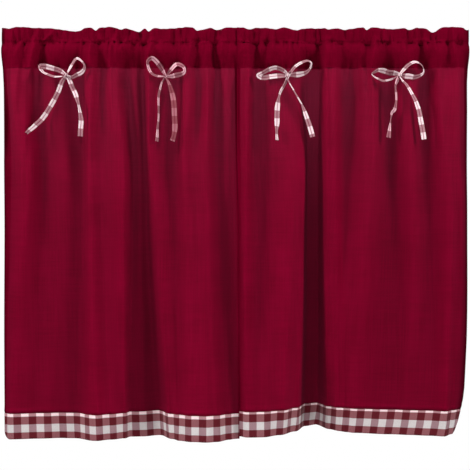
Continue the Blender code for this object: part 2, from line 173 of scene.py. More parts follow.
HEADING_LEVELS = [Level(*row) for row in (
    (41.5, 0.9, 0.8, 0.0),
    (32, 0.9, 0.64, 0.0),
    (20, 0.9, 0.42, 0.0),
    (9, 0.7, 0.25, 0.0),
    (4.5, 2.2, 0.3, 0.3),
    (-2, 8.4, 0.4, 0.8),
    (-9.5, 12.0, 0.5, 1.0),
    (-19, 11.6, 0.65, 1.0),
    (-33, 6.8, 0.85, 0.7),
    (STITCH_LINE, 0.8, 1.0, 0.0),
)]
HEADER_TOP = HEADING_LEVELS[0].height
HEADER_FOOT = HEADING_LEVELS[3].height  # the header's cloth is straight above this
LEVEL_STEPS = 6  # rows of the grid from one level to the next

# The header leans forward and ruffles over the seam, more and more as it goes up
HEADER_LEAN = 5  # at the top
LEAN_LEAST = 0.35  # share of the lean just over the seam
RUFFLE_LEAST = 0.4
RUFFLE_RISE = 24  # height over the header's foot at which the ruffle and the lean are full
SEAM_HOLD = 10  # the seam holds the cloth flat, less and less up to this height

# The pocket's puckers: their depth, the mean share of it, and waves on top of that, each with
# its share and its radians for each millimetre
PUCKER = 2.6
PUCKER_MEAN = 0.5
PUCKER_WAVES = ((0.3, 0.183), (0.2, 0.117))

# Uneven waves in the cloth: depth, size across and down in millimetres, and a seed
Waves = namedtuple("Waves", "depth across down seed")

RUFFLE = (Waves(5, 10, 70, 4.2),)
BACK_WAVES = (Waves(0.5, 12, 50, 6.1),)
SEAM_CRESTS = (Waves(3.0, 11, 90, 3.1), Waves(1.5, 5.5, 60, 7.7))
CRESTS_UP, CRESTS_DOWN = 22, 30  # how far they reach over the header's seam and under it
SMALL_GATHERS = (Waves(5.5, 12, 130, 1.3), Waves(1.8, 6, 80, 5.9))
GATHERS_UP, GATHERS_DOWN = 14, 60  # the same at the pocket's lower seam
EASY_FOLDS = (Waves(2.2, 34, 260, 2.4), Waves(0.9, 15, 160, 8.8))

# Dips in the header's top edge, and how far they reach to the left and to the right
Dip = namedtuple("Dip", "x drop left right")

DIPS = [Dip(*row) for row in (
    (-500, 3.3, 8, 9), (-349, 8, 55, 13), (-309, 7, 7, 6), (-255, 5, 9, 9),
    (-216, 9, 17, 9), (-192, 9, 6, 9), (-167, 3, 12, 30), (-85, 7, 6, 26),
    (-40, 4.5, 8, 14), (29, 5, 7, 8), (90, 4.5, 18, 12), (134, 6, 16, 14),
    (205, 5.5, 8, 14), (243, 4.5, 20, 20), (289, 6, 4, 8), (347, 3, 36, 30),
    (387, 5, 9, 10), (438, 11, 12, 12), (514, 5, 10, 8),
)]

# The ribbons
RIBBON_WIDE = 12.5
RIBBON_THICK = 0.8
TURN_SHARE = 0.86  # share of the turns in the tables that is used
RIBBON_CLEAR = 2.2  # from the cloth
BODY_CLEAR = 1.0  # how far a ribbon takes the body cloth to stand in front of its folds
RIBBON_STEPS = 9  # between two points of a route
FEEL_EVERY = 3  # steps between two places where the cloth behind it is felt for
RIBBON_COLUMNS = 6
RIBBON_CROWN = 0.9  # how far the ribbon's middle stands over its edges
RIBBON_SPAN = 22  # a ribbon bridges hollows in the cloth that reach this far to each side
REACH_STEPS = 4  # places to each side where the cloth is felt for
PINCH = 0.66  # share of the ribbon's width that is left in the knot
PINCH_LENGTH = 18

# The knots
KNOT_HALF = Vector((4.4, 4.6, 4.4))  # half the size of one
KNOT_RINGS = 25
KNOT_AROUND = 24
KNOT_FULLNESS = 3.2  # the higher, the blunter the knot's two ends
KNOT_CREASE = 0.07  # depth of its creases, as a share of its size
KNOT_CREASES = 3
KNOT_TWIST = 2.5  # radians of the creases' waves from its middle to an end
KNOT_STAND = 5.5  # from the curtain's front to a knot's centre
KNOT_REACH = 5  # the curtain's front is felt for this far to each side of it
KNOT_GAP = 0.4  # between the curtain's front and a ribbon in its knot

# x, z: where the knot is. Each strip of ribbon has a route of points, counted from the knot:
# x to the right, z up, and the ribbon's turn in degrees, 0 with its edge to the front and 90
# with its face.
Bow = namedtuple("Bow", "name x z left_loop right_loop left_tail right_tail")
STRIPS = Bow._fields[3:]

BOWS = (
    Bow(
        "bow_1", -374, -65,
        ((3, -3, 30), (-7, 6, 50), (-16, 11, 55), (-26, 14, 58), (-37, 17, 60), (-48, 19, 68),
         (-56, 18, 60), (-52, 8, 25), (-41, 2, 25), (-26, -3, 25), (-14, -3, 20), (-4, -1, 10)),
        ((-3, -4, 20), (6, 12, 35), (16, 27, 38), (25, 35, 35), (34, 31, 20), (42, 21, 12),
         (42, 12, 20), (34, 4, 35), (23, -1, 35), (11, -4, 25), (4, -1, 10)),
        ((2, 3, 35), (-9, -15, 38), (-17, -36, 44), (-31, -63, 48), (-47, -89, 50), (-65, -111, 48),
         (-84, -130, 25)),
        ((-4, 3, 40), (6, -9, 48), (13, -26, 52), (21, -41, 52), (26, -55, 35), (30, -69, 16),
         (33, -85, 32), (35, -102, 52), (34, -117, 52), (33, -136, 60)),
    ),
    Bow(
        "bow_2", -154, -68,
        ((2, -3, 20), (-8, 15, 48), (-18, 29, 52), (-29, 37, 40), (-38, 31, 25), (-38, 22, 25),
         (-34, 11, 28), (-27, 3, 28), (-17, 0, 30), (-4, 0, 20)),
        ((-2, -3, 20), (9, 12, 45), (16, 20, 50), (25, 26, 55), (36, 23, 50), (42, 15, 25),
         (40, 7, 30), (30, 3, 50), (18, 1, 50), (4, 0, 30)),
        ((2, 3, 10), (-7, -13, 8), (-12, -30, 14), (-15, -45, 16), (-15, -72, 12), (-15, -92, 10),
         (-17, -112, 14), (-18, -134, 25), (-19, -144, 32)),
        ((-3, 4, 15), (6, -12, 25), (12, -30, 55), (17, -50, 68), (19, -68, 70), (20, -90, 65),
         (21, -112, 70), (19, -130, 50), (15, -143, 65)),
    ),
    Bow(
        "bow_3", 117, -65,
        ((3, -3, 20), (-11, 10, 35), (-28, 16, 38), (-43, 12, 42), (-58, 4, 40), (-66, -2, 60),
         (-55, -5, 72), (-41, -3, 75), (-23, -1, 72), (-5, -1, 50)),
        ((-4, -8, 32), (5, 6, 34), (13, 17, 35), (26, 26, 35), (40, 31, 30), (50, 28, 22),
         (50, 20, 20), (45, 11, 25), (36, 5, 40), (23, 2, 65), (10, 1, 65), (4, 0, 40)),
        ((4, 8, 32), (-7, -18, 28), (-17, -36, 25), (-21, -50, 25), (-24, -68, 68), (-25, -86, 72),
         (-25, -105, 68), (-26, -122, 28), (-25, -143, 35)),
        ((-2, 3, 15), (0, -12, 14), (11, -32, 16), (21, -49, 18), (30, -65, 22), (36, -80, 48),
         (42, -97, 64), (48, -115, 72), (54, -136, 75)),
    ),
    Bow(
        "bow_4", 363, -64,
        ((3, 0, 55), (-12, 3, 58), (-27, 5, 58), (-39, 8, 55), (-49, 8, 35), (-59, 3, 18),
         (-63, -1, 15), (-57, -7, 25), (-47, -12, 28), (-37, -15, 28), (-25, -12, 25),
         (-12, -7, 18), (-4, -2, 10)),
        ((-3, -3, 30), (10, 13, 38), (20, 22, 38), (32, 27, 34), (44, 23, 22), (52, 14, 16),
         (52, 4, 20), (43, -3, 32), (32, -6, 45), (20, -4, 62), (10, -3, 65), (3, 0, 50)),
        ((0, 2, 45), (-5, -11, 45), (-10, -25, 28), (-9, -43, 28), (-9, -60, 28), (-12, -77, 42),
         (-18, -85, 30), (-20, -99, 14), (-22, -116, 35), (-25, -139, 68)),
        ((-2, 2, 20), (5, -13, 28), (15, -24, 38), (26, -43, 46), (35, -61, 58), (42, -82, 68),
         (46, -104, 74), (50, -124, 75), (53, -143, 75)),
    ),
)

# Soft creases, in millimetres: where one starts and ends, how far it stands out at its middle (less
# than nothing is a trough), and its width to the left and to the right
Crease = namedtuple("Crease", "x_top z_top x_foot z_foot rise left right")

CREASES = [Crease(*row) for row in (
    (-503, -50, -508, -250, -9, 7, 5), (-480, -40, -500, -230, 3.5, 3, 10),
    (-449, -20, -464, -250, 7, 13, 4), (-437, 12, -462, -80, 6, 6, 4),
    (-433, -20, -436, -120, -3, 3, 7), (-337, -60, -338, -220, -8, 6, 4),
    (-320, 14, -321, -260, 7, 4, 9), (-294, -10, -296, -190, -2.5, 5, 4),
    (-285, -57, -267, -190, 2, 5, 5), (-279, -30, -269, -200, 3, 3, 9),
    (-276, 10, -276, -75, 4, 3, 5), (-243, -30, -240, -230, 3.5, 12, 3),
    (-207, -40, -207, -330, -3.5, 6, 4), (-196, -30, -192, -300, 3.5, 3, 8),
    (-190, 10, -192, -90, 4, 3, 7), (-118, -40, -114, -300, 3, 4, 12),
    (-62, -30, -60, -260, 4, 9, 3), (-50, -14, -14, -152, -4.5, 6, 4),
    (-31, -30, -22, -140, 3, 4, 10), (12, -30, 10, -190, -3, 4, 5), (21, -20, 20, -260, 3, 3, 8),
    (30, 12, 30, -90, 4, 7, 5), (35, -20, 36, -200, 3, 8, 3), (59, -63, 59, -285, 1.5, 3, 3),
    (77, -96, 79, -252, 1.5, 3, 3), (157, -50, 160, -210, 3, 7, 4), (176, -50, 178, -330, -3, 7, 6),
    (199, -30, 200, -220, 4, 3, 9), (219, -30, 221, -220, 4, 10, 3),
    (279, -40, 281, -120, 2.5, 2.5, 2.5), (290, -30, 292, -110, -3, 4, 3),
    (303, 0, 299, -80, 3, 3, 3), (303, -60, 305, -280, 3.5, 6, 5), (305, 12, 302, -80, 4, 4, 5),
    (343, -119, 345, -340, -2, 5, 5), (386, -90, 386, -280, 2.5, 8, 8),
    (428, -60, 448, -230, -4, 4, 7), (443, -30, 462, -250, 3.5, 7, 6),
    (448, 12, 452, -110, 6, 9, 10), (470, -20, 470, -80, -3, 4, 4), (487, -30, 486, -240, 4, 9, 3),
    (500, -60, 504, -300, -14, 5, 6),
)]

# Gathers at the header's seam: where one is, how far it stands out (less than nothing is a
# hollow) in steps of GATHER_DEPTH, its width, how far it reaches over the seam and under it,
# and how far its foot leans to the right
Gather = namedtuple("Gather", "x rise width up down lean")
GATHER_DEPTH = 2.6

GATHERS = [Gather(*row) for row in (
    (-498, 2.5, 5, 18, 14, 4), (-474, 2.2, 5, 4, 34, -10), (-469, -2, 5, 5, 38, 0),
    (-448, 2.5, 4, 26, 8, -3), (-443, 3.5, 6, 8, 60, -14), (-429, 2.5, 4, 26, 6, -7),
    (-427, -3.5, 8, 4, 62, 2), (-394, 2, 4, 26, 8, 4), (-383, 2.5, 4, 4, 20, 4),
    (-363, 1.5, 10, 3, 12, 0), (-343, 1.8, 5, 6, 16, 0), (-319, 3, 7, 4, 60, 0),
    (-314, -2.5, 6, 28, 3, 0), (-300, -2.5, 7, 4, 55, 0), (-294, 3, 4, 12, 18, 5),
    (-283, 1.8, 4, 4, 60, 0), (-271, 3, 4, 12, 18, -5), (-262, 2.6, 4, 26, 6, 0),
    (-260, 3, 4, 4, 22, 2), (-254, -2.5, 6, 24, 2, 0), (-247, 3, 5, 6, 26, -2),
    (-232, 1.8, 6, 5, 16, 0), (-227, -3, 7, 4, 60, 8), (-201, -4.5, 5, 34, 8, 0),
    (-193, 2.8, 4, 6, 36, 3), (-185, 2.8, 4, 8, 36, -3), (-165, 1.5, 7, 4, 14, 0),
    (-123, 2, 4, 6, 24, 0), (-98, 2.5, 4, 8, 20, 3), (-92, 2.5, 4, 26, 4, 0),
    (-88, -3.5, 6, 6, 60, 0), (-70, 2.4, 18, 2, 8, 0), (-52, -2, 4, 26, 3, 0),
    (-46, -4, 6, 4, 64, 2), (-33, 2.8, 4, 10, 24, 2), (-26, 2.5, 4, 6, 22, -4),
    (13, 2.5, 3, 8, 20, 0), (20, -3, 4, 30, 2, 0), (21, 3, 4, 6, 18, 2), (31, 2.5, 6, 2, 14, 0),
    (40, -5, 6, 32, 3, 0), (46, -3.5, 4, 2, 64, 0), (60, 2.2, 4, 26, 20, 0), (68, -2, 5, 4, 50, 0),
    (82, 2.8, 5, 28, 22, 2), (101, 1.5, 5, 4, 14, 0), (121, 2.2, 3.5, 6, 44, 0),
    (152, 2.4, 11, 3, 12, 0), (161, -2, 7, 26, 3, 0), (175, 1.8, 5, 5, 24, 0),
    (183, -3.5, 11, 4, 60, 0), (201, 3.5, 6, 10, 64, 4), (222, 1.8, 4, 28, 4, 0),
    (234, -2.5, 9, 3, 55, 0), (241, 1.5, 8, 4, 14, 0), (289, -3, 5, 3, 58, -4),
    (297, -5, 4, 26, 16, 3), (306, 3.6, 5, 8, 44, -2), (322, 2, 4, 6, 26, 0),
    (331, 2.6, 4, 34, 6, 0), (334, -3.2, 9, 3, 48, 0), (349, 1.6, 9, 4, 12, 0),
    (371, 1.8, 5, 4, 36, 0), (388, -3, 4, 30, 3, 0), (400, 2.4, 4, 5, 20, 0),
    (411, -3.5, 6, 3, 60, 0), (420, 2.4, 4, 8, 20, 0), (437, 3.2, 7, 4, 28, 0),
    (460, 2, 5, 5, 20, 0), (471, -2.2, 5, 3, 58, 0), (480, 2.5, 5, 24, 46, 0),
    (496, -2.4, 5, 3, 58, 0),
)]

# The cloths' weaves, in millimetres from one thread to the next
VOILE_THREAD = 0.45
GINGHAM_THREAD = 0.7

# How many spots of unevenness lie side by side in a metre of cloth, along it and up it
SLUBS_WARP = (340, 9)
SLUBS_WEFT = (14, 280)
MOTTLE = 12
FIBRES = (500, 500)
UNEVENNESS = 3.6  # contrast between the two shades of a dye

# Semi-sheer burgundy: its lighter and darker shade, and its colour with the light behind it.
# The heading is two layers deep, so it is darker and lets less light through.
Dyes = namedtuple("Dyes", "light shade through")
BODY_DYES = Dyes((0.165, 0.0004, 0.0155, 1), (0.115, 0.0002, 0.0095, 1), (0.26, 0.022, 0.058, 1))
HEADING_DYES = Dyes((0.14, 0.0003, 0.0125, 1), (0.115, 0.0002, 0.0095, 1), (0.26, 0.022, 0.058, 1))
BODY_PASSED = 0.25  # share of the light that comes through
HEADING_PASSED = 0.15

# Gingham, in millimetres
YARN = 1.1
BAND_ROW = 17.3  # height of a row of the band's checks
STRIP = 6  # the band's top strip, which stands out and catches the light
RIBBON_CHECK = 17.5
STRIPE_HALF = 1.3  # half the width of the ribbon's coloured middle stripe
STRIPE_EDGE = 0.5
CHECK_SHARPNESS = 40

# The four squares of a check: white, white weft on coloured warp, coloured weft on white
# warp, and full colour
Checks = namedtuple("Checks", "white warp weft full")
BAND_TINTS = Checks((0.49, 0.45, 0.45, 1), (0.29, 0.18, 0.20, 1), (0.23, 0.082, 0.093, 1),
                    (0.082, 0.004, 0.009, 1))
# Painted highlight: the top strip's checks are lighter copies of the band's, for the light that it
# catches
STRIP_HIGHLIGHT_TINTS = BAND_TINTS._replace(white=(0.76, 0.56, 0.58, 1), warp=(0.40, 0.20, 0.22, 1))

# Painted light and shade on the ribbons: lit and shaded copies of their checks, which differ with how
# the light falls on them
LIT_CHECKS = Checks((0.80, 0.62, 0.65, 1), (0.42, 0.21, 0.24, 1), (0.46, 0.26, 0.30, 1),
              (0.20, 0.05, 0.075, 1))
HALF_SHADED_CHECKS = Checks((0.68, 0.53, 0.55, 1), (0.36, 0.19, 0.21, 1), (0.40, 0.23, 0.26, 1),
                (0.18, 0.045, 0.065, 1))
ROSY_SHADED_CHECKS = Checks((0.72, 0.39, 0.45, 1), (0.35, 0.13, 0.16, 1), (0.38, 0.17, 0.21, 1),
              (0.16, 0.03, 0.05, 1))
DEEP_SHADED_CHECKS = Checks((0.38, 0.13, 0.16, 1), (0.26, 0.06, 0.08, 1), (0.28, 0.07, 0.10, 1),
              (0.16, 0.02, 0.035, 1))

# Which copy each bow's left loop, right loop, left tail and right tail gets: lit, or with painted
# shade
RIBBON_LIGHT_AND_SHADE = {
    "bow_1": (LIT_CHECKS, LIT_CHECKS, LIT_CHECKS, LIT_CHECKS),
    "bow_2": (ROSY_SHADED_CHECKS, ROSY_SHADED_CHECKS, ROSY_SHADED_CHECKS, DEEP_SHADED_CHECKS),
    "bow_3": (HALF_SHADED_CHECKS, LIT_CHECKS, LIT_CHECKS, LIT_CHECKS),
    "bow_4": (HALF_SHADED_CHECKS, LIT_CHECKS, ROSY_SHADED_CHECKS, LIT_CHECKS),
}

# The camera stands where the photograph was taken from, face on. Metres.
CAMERA_DISTANCE = 2.5
CAMERA_X = -0.001
CAMERA_HEIGHT = -0.418
FRAME_WIDTH = 1.0425  # across the picture, at the rod
SENSOR = 36.0
FLOOR_PLACE = (0, -0.2, -1.35)
FLOOR_SIZE = 3.4  # its far edge stays under the picture

# Strength of the white room: as it lights the scene, and as the camera sees it
ROOM_LIGHT = 0.10
ROOM_SEEN = 1.0

# Place and size in metres, power in watts. Each light points at its target.
Light = namedtuple("Light", "name place target size power")
LIGHTS = (
    Light("left", (-2.0, -1.0, 0.9), (0, 0, -0.42), (0.5, 1.0), 60),
    Light("right", (2.0, -1.0, 0.9), (0, 0, -0.42), (0.5, 1.0), 53),
    Light("front", (-0.3, -1.3, 1.5), (0, 0, -0.2), (0.8, 0.5), 18),
    Light("low", (0, -1.7, -1.15), (0, 0, -0.85), (1.8, 0.3), 10),
    Light("window", (0.0, 0.24, -0.03), (0, 0, -0.13), (1.1, 0.1), 1.7),
)


def lerp(a, b, t):
    """From a to b as t goes from 0 to 1."""
    return a + (b - a) * t


def soft(t):
    """Runs from 0 to 1 with t and starts and ends level, as a fold does."""
    return t * t * (3 - 2 * t)


def hump(offset, width):
    """1 at offset 0, and less and less away from it. A width away it is 0.37."""
    return np.exp(-((offset / width) ** 2))


def fold_blend(t, z):
    """From one fold to the next, t from 0 to 1. Near the pocket the folds are crisper."""
    crisp = lerp(CRISP_FOOT, CRISP_TOP, np.clip((z + CRISP_REACH) / CRISP_REACH, 0, 1))
    return lerp(soft(t), soft(soft(t)), crisp)


def hermite(h, values, k, z):
    """The smooth curve through values at heights h, between heights k and k + 1."""
    def slope(i):
        low, high = max(i - 1, 0), min(i + 1, len(h) - 1)
        return (values[high] - values[low]) / (h[high] - h[low])

    span = h[k + 1] - h[k]
    t = (z - h[k]) / span
    rise = (t - 2 * t**2 + t**3) * slope(k) + (t**3 - t**2) * slope(k + 1)
    return lerp(values[k], values[k + 1], soft(t)) + span * rise


def catmull_rom(points, k, t):
    """The smooth curve through points, between points k and k + 1."""
    before, start, end, after = (points[min(max(i, 0), len(points) - 1)] for i in range(k - 1, k + 3))
    return 0.5 * (
        2 * start
        + (end - before) * t
        + (2 * before - 5 * start + 4 * end - after) * t**2
        + (3 * start - before - 3 * end + after) * t**3
    )


def at_height(column, z, stitch_share=1.0):
    """A fold's column at height z. stitch_share scales it at the pocket's seam."""
    values = (column[0] * stitch_share, *column)
    height = min(max(z, HEIGHTS[-1]), HEIGHTS[0])
    k = next(i for i in range(len(HEIGHTS) - 1) if height >= HEIGHTS[i + 1])
    return hermite(HEIGHTS, values, k, height)


def fold_points(panel, z):
    """The ridges and valleys of a panel at height z: across and forward."""
    across = np.array([at_height(fold.across, z) for fold in panel.folds])
    forward = np.array([at_height(fold.forward, z, STITCH_DEPTH) for fold in panel.folds])
    return across, forward


def cloth_row(panel, u, z):
    """The cloth at height z, u folds from its left edge: across and forward."""
    across, forward = fold_points(panel, z)
    i = np.minimum(u.astype(int), len(across) - 2)
    t = u - i
    x, y = lerp(across[i], across[i + 1], t), lerp(forward[i], forward[i + 1], fold_blend(t, z))
    return x - lap(panel, x, z) + side_slant(panel, x, z), y


def forward_at(panel, x, z):
    """How far the cloth stands forward at x and height z."""
    across, forward = fold_points(panel, z)
    x = min(max(x, across[0]), across[-1])
    i = min(int(np.searchsorted(across, x, side="right")) - 1, len(across) - 2)
    t = (x - across[i]) / (across[i + 1] - across[i])
    return lerp(forward[i], forward[i + 1], fold_blend(t, z))


def lap(panel, x, z):
    """How far the right curtain's edge passes over the left one's at the top, to the left."""
    if panel is not RIGHT:
        return 0
    share = np.clip((z + LAP_END) / (LAP_END - LAP_START), 0, 1)
    return LAP * share * hump(x - MEETING, LAP_WIDTH)


def side_slant(panel, x, z):
    """How far the right curtain's outer edge leaves its fold's line."""
    if panel is not RIGHT:
        return 0
    out = float(np.interp(-z, *zip(*EDGE_SHIFTS)))
    return out * soft(np.clip((x - EDGE_START) / EDGE_REACH, 0, 1))


def fold_columns(panel, pitch=COLUMN_PITCH):
    """Places along the folds for a sheet's columns, about pitch of cloth apart."""
    places = []
    across, forward = fold_points(panel, (HEIGHTS[0] + HEIGHTS[-1]) / 2)
    for i in range(len(across) - 1):
        length = math.hypot(across[i + 1] - across[i], forward[i + 1] - forward[i])
        steps = max(round(length / pitch), FEWEST_COLUMNS)
        places.extend(i + k / steps for k in range(steps))
    return np.array([*places, len(across) - 1.0])


def along_cloth(x, y):
    """How far along the cut cloth each column is, in millimetres, from its place in a row."""
    steps = np.hypot(np.diff(x), np.diff(y))
    length = np.concatenate([[0], np.cumsum(steps)])
    return length * FLAT_WIDTH / length[-1]


def top_edge(x):
    """Height of the header's top edge at x."""
    height = np.full_like(x, HEADER_TOP)
    for dip in DIPS:
        height -= dip.drop * hump(x - dip.x, np.where(x < dip.x, dip.left, dip.right))
    return height


def pucker_at(x):
    """Depth of the pocket's puckers at x."""
    return PUCKER * (PUCKER_MEAN + sum(part * np.sin(turns * x) for part, turns in PUCKER_WAVES))


def ripple(x, z, waves):
    """Uneven soft relief from about -0.5 to 0.5."""
    points = zip(np.ravel(x) / waves.across, np.ravel(z) / waves.down)
    values = [noise.noise(Vector((a, b, waves.seed))) for a, b in points]
    return np.reshape(values, np.shape(x))


def sharp_ripple(x, z, waves):
    """Uneven relief with narrow crests and round hollows between them, up to 0.4."""
    return 0.4 - 2 * np.abs(ripple(x, z, waves))


def relief(x, z, layers, form=ripple):
    """Layers of uneven waves, added up."""
    return sum(waves.depth * form(x, z, waves) for waves in layers)


def creases(x, z):
    """The listed creases: how far they bring the cloth forward."""
    total = np.zeros(np.shape(x))
    for crease in CREASES:
        t = (crease.z_top - z) / (crease.z_top - crease.z_foot)
        middle = lerp(crease.x_top, crease.x_foot, t)
        reach = np.clip(4 * t * (1 - t), 0, 1) ** 0.5
        width = np.where(x < middle, crease.left, crease.right)
        total += crease.rise * reach * hump(x - middle, width)
    return total


def seam_gathers(x, z):
    """Relief of the gathers that the header's seam holds."""
    over = z - HEADER_SEAM
    total = np.zeros(np.shape(x))
    for gather in GATHERS:
        reach = np.where(over > 0, gather.up, gather.down)
        middle = gather.x - gather.lean * over / gather.down
        width = gather.width * (1 + np.abs(over) / reach)
        total += GATHER_DEPTH * gather.rise * hump(over, reach) * hump(x - middle, width)
    near = hump(over, np.where(over > 0, CRESTS_UP, CRESTS_DOWN))
    return total + near * relief(x, z, SEAM_CRESTS, sharp_ripple)


def header_relief(x, z):
    """The header's own ruffle, and how it leans forward."""
    up = np.clip((z - HEADER_FOOT) / RUFFLE_RISE, 0, 1)
    free = np.clip(z / SEAM_HOLD, 0, 1)
    lean = HEADER_LEAN * lerp(LEAN_LEAST, 1, up**0.5)
    return free * ((RUFFLE_LEAST + up) * relief(x, z, RUFFLE) + lean)


def body_relief(x, z):
    """Creases, small gathers under the pocket's seam and the cloth's own unevenness."""
    under = np.clip(STITCH_LINE - z, 0, None)
    gathered = np.exp(-under / GATHERS_DOWN) * relief(x, z, SMALL_GATHERS)
    easy = relief(x, z, EASY_FOLDS) * np.clip(under / GATHERS_DOWN, 0, 1)
    return creases(x, z) + gathered + easy


def seam_roll(panel, z):
    """How far the body cloth rolls out over the seam of its hem band, and dips at the seam."""
    over = z - panel.band_top
    return SEAM_ROLL * (hump(over - ROLL_HEIGHT, ROLL_WIDTH) - hump(over - DIP_HEIGHT, DIP_WIDTH))


# The mask of the painted light and shade on the folds
def crest_of(points):
    """How far each point stands out from the cloth around it, from -1 in a hollow to 1."""
    across, forward = points[:, :, 0], -points[:, :, 1]
    crest = np.empty_like(forward)
    for row, (x, y) in enumerate(zip(across, forward)):
        near = hump(x[:, None] - x[None, :], CREST_REACH)
        crest[row] = (y - near @ y / near.sum(axis=1)) / CREST_HEIGHT
    return np.clip(crest, -1, 1)


def painted_edge_shade(points):
    """How much painted shade lies along the pair's outer edges, where the cloth is doubled and curls
    back.
    """
    outward = np.abs(points[:, :, 0])
    reach = np.where(points[:, :, 0] < 0, RIM_LEFT, RIM_RIGHT)
    from_edge = outward.max(axis=1, keepdims=True) - outward
    return RIM_DEPTH * np.clip(1 - from_edge / reach, 0, 1) ** RIM_POWER


def add(name, data):
    """A new object in the scene."""
    made = bpy.data.objects.new(name, data)
    bpy.context.scene.collection.objects.link(made)
    return made


def grid_mesh(name, points, flat, material):
    """A sheet with rows from the top down and columns from left to right, in millimetres.
    flat gives each point's place on the cut cloth."""
    rows, columns = points.shape[:2]
    index = np.arange(rows * columns).reshape(rows, columns)
    corners = (index[:-1, :-1], index[1:, :-1], index[1:, 1:], index[:-1, 1:])
    faces = np.stack(corners, axis=-1).reshape(-1, 4)
    mesh = bpy.data.meshes.new(name)
    mesh.from_pydata((points.reshape(-1, 3) * MM).tolist(), [], faces.tolist())
    layer = mesh.uv_layers.new(name="cloth")
    layer.data.foreach_set("uv", (flat.reshape(-1, 2) * MM)[faces.ravel()].ravel())
    # Mask of the painted light and shade: lighter on crests, darker in hollows and along the outer
    # edges
    wear_and_painted_shade = mesh.attributes.new("crest", "FLOAT", "POINT")
    wear_and_painted_shade.data.foreach_set("value", (crest_of(points) - painted_edge_shade(points)).ravel())
    mesh.shade_smooth()
    mesh.materials.append(material)
    return add(name, mesh)


def stand_for(piece, node):
    """The piece takes the place of a solid."""
    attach(piece, "root")
    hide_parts(node)
    return piece


def turn_side_hems(points, flat):
    """Adds the side hems, which are turned to the back and lie behind the sheet's edges."""
    along = flat[0, :, 0]
    left = np.flatnonzero(along < SIDE_HEM)[:0:-1]
    right = np.flatnonzero(along > FLAT_WIDTH - SIDE_HEM)[-2::-1]
    behind = np.array([0, HEM_BEHIND, 0])
    edges = np.concatenate([points[:, left] + behind, points, points[:, right] + behind], axis=1)
    places = np.concatenate([flat[:, left], flat, flat[:, right]], axis=1)
    return edges, places


def body_sheet(panel, material):
    """The body cloth, from inside the heading's foot to inside the hem band."""
    u = fold_columns(panel)
    seam = panel.band_top + SEAM_REACH
    heights = np.concatenate([
        np.linspace(STITCH_LINE + BODY_OVERLAP, seam, BODY_ROWS, endpoint=False),
        np.linspace(seam, panel.band_top - BODY_OVERLAP, SEAM_ROWS),
    ])
    x, forward = np.array([cloth_row(panel, u, z) for z in heights]).swapaxes(0, 1)
    z = np.repeat(heights[:, None], len(u), axis=1)
    along = np.array([along_cloth(*row) for row in zip(x, forward)])
    forward = forward + body_relief(x, z) + seam_roll(panel, z)
    points = np.stack([x, -forward, z], axis=-1)
    edges, places = turn_side_hems(points, np.stack([along, z], axis=-1))
    sheet = grid_mesh(f"body_cloth_{panel.side}", edges, places, material)
    return stand_for(sheet, f"cloth_{panel.side}")


def round_corner(t):
    """Share of the edge's lift, t from the corner, for a rounded corner."""
    return 1 - math.sqrt(max(1 - (1 - t) ** 2, 0))


def foot_line(panel, u):
    """Height of the hem band's lower edge, u folds from the left. Its two corners are round."""
    lifts = [fold.lift for fold in panel.folds]
    last = len(lifts) - 2
    heights = []
    for place in u:
        i = min(int(place), last)
        t = place - i
        if i == 0:
            lift = lerp(lifts[1], lifts[0], round_corner(t))
        elif i == last:
            lift = lerp(lifts[-2], lifts[-1], round_corner(1 - t))
        else:
            lift = lerp(lifts[i], lifts[i + 1], t)
        heights.append(panel.band_foot + lift)
    return np.array(heights)


def hem_band(panel, material):
    """The checked band: one strip, folded at the foot, with a layer to each side of the body."""
    u = fold_columns(panel)
    foot = foot_line(panel, u)
    front = [(k / (BAND_ROWS - 1), BAND_HALF) for k in range(BAND_ROWS - 1)]
    front.append((1 - FOOT_TURN, FOOT_HALF))
    back = [(share, -half) for share, half in reversed(front)]
    points, flat = [], []
    for share, half in (*front, (1, 0), *back):
        z = lerp(panel.band_top, foot, share)
        level = float(np.mean(z))
        x, forward = cloth_row(panel, u, level)
        forward = forward + body_relief(x, np.full_like(x, level))
        points.append(np.stack([x, -(forward + half), z], axis=-1))
        strip_place = z if half >= 0 else 2 * foot - z
        flat.append(np.stack([along_cloth(x, forward), strip_place], axis=-1))
    sheet = grid_mesh(f"gingham_band_{panel.side}", np.array(points), np.array(flat), material)
    return stand_for(sheet, f"hem_band_{panel.side}")


def section_levels():
    """The heading's levels from the top edge down, with smooth steps between them."""
    table = np.array(HEADING_LEVELS)
    last = len(table) - 1
    rows = []
    for place in np.linspace(0, last, last * LEVEL_STEPS + 1):
        k = min(int(place), last - 1)
        t = place - k
        row = catmull_rom(table, k, t)
        row[0] = lerp(table[k][0], table[k + 1][0], t)
        rows.append(Level(*row))
    return rows


def heading_layer(panel, u, side):
    """One layer of the heading, from the top edge down. side is 1 in front and -1 behind."""
    x, sway = cloth_row(panel, u, STITCH_LINE)
    puckers, top = pucker_at(x), top_edge(x)
    at_seam = np.full_like(x, STITCH_LINE)
    rows = []
    for level in section_levels():
        z = np.full_like(x, level.height)
        if level.height > HEADER_FOOT:
            z = lerp(HEADER_FOOT, top, (level.height - HEADER_FOOT) / (HEADER_TOP - HEADER_FOOT))
        forward = level.sway * sway + side * (level.half + level.pucker * puckers)
        forward = forward + header_relief(x, z) + creases(x, z)
        forward = forward + (seam_gathers(x, z) if side > 0 else relief(x, z, BACK_WAVES))
        forward = forward + hump(z - STITCH_LINE, GATHERS_UP) * relief(x, at_seam, SMALL_GATHERS)
        if panel is LEFT and level.height > 0:
            forward = forward - TUCK * hump(x - MEETING, LAP_WIDTH)
        rows.append(np.stack([x, -forward, z], axis=-1))
    return rows


